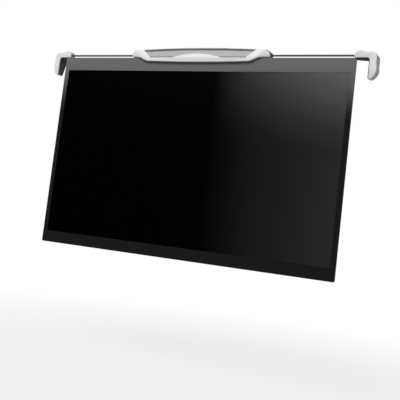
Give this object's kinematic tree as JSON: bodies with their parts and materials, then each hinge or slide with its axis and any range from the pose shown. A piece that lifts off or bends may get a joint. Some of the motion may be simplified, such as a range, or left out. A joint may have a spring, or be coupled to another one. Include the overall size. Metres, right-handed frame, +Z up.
{
  "type": "monitor privacy filter",
  "caption": "Clamp-on privacy filter: dark louver panel hung from a top housing, with sprung, pinion-centred arms whose corner clips grip a flat monitor",
  "frame": {"origin": "Middle of the foot pad's underside, on the monitor's top edge", "axes": "+X to the viewer's right along the arms, -Y towards the viewer, +Z up"},
  "size_m": [0.5448, 0.0259, 0.321],
  "materials": {
    "silver_plastic": "light silver, satin moulded",
    "grey_plastic": "mid grey, satin",
    "pale_plastic": "near white, smooth and bare",
    "charcoal_plastic": "charcoal, fine grain",
    "pad_rubber": "soft, matt",
    "dark_acrylic": "dark tinted sheet, satin",
    "louver_film": "black micro-louver film, satin",
    "black_steel": "black, satin",
    "gear_plastic": "natural, plain",
    "steel": "plain"
  },
  "bodies": {
    "housing": {"front_cover": "silver_plastic", "front_inlay": "grey_plastic", "badge_lens": "pale_plastic", "rear_cover": "charcoal_plastic", "foot_pad": "pad_rubber", "filter_panel": "dark_acrylic", "privacy_film": "louver_film", "panel_screws": "steel", "cover_screws": "steel", "pinion_pin": "steel", "guide_plate": "steel", "guide_screws": "steel", "tension_spring": "steel"},
    "left_arm": {"arm_left": "black_steel", "spring_post_left": "steel", "clip_left": "silver_plastic", "clip_pad_left": "pad_rubber", "clip_screws_left": "steel"},
    "right_arm": {"arm_right": "black_steel", "spring_post_right": "steel", "clip_right": "silver_plastic", "clip_pad_right": "pad_rubber", "clip_screws_right": "steel"},
    "pinion": {"pinion": "gear_plastic"}
  },
  "joints": [
    {"name": "left_arm_slide", "type": "slide", "parent": "housing", "child": "left_arm", "axis": [-1, 0, 0], "range_m": [-0.018, 0.018], "stiffness_N_per_m": 80, "deforming": ["tension_spring"]},
    {"name": "right_arm_slide", "type": "slide", "parent": "housing", "child": "right_arm", "axis": [1, 0, 0], "range_m": [-0.018, 0.018]},
    {"name": "pinion_turn", "type": "hinge", "parent": "housing", "child": "pinion", "pos_m": [0, -0.00155, 0.0055], "axis": [0, 0, 1], "range_deg": [-290, 290]}
  ],
  "couplings": [
    {"joint": "right_arm_slide", "follows": "left_arm_slide", "ratio": 1},
    {"joint": "pinion_turn", "follows": "left_arm_slide", "rad_per_m": 277.78}
  ]
}
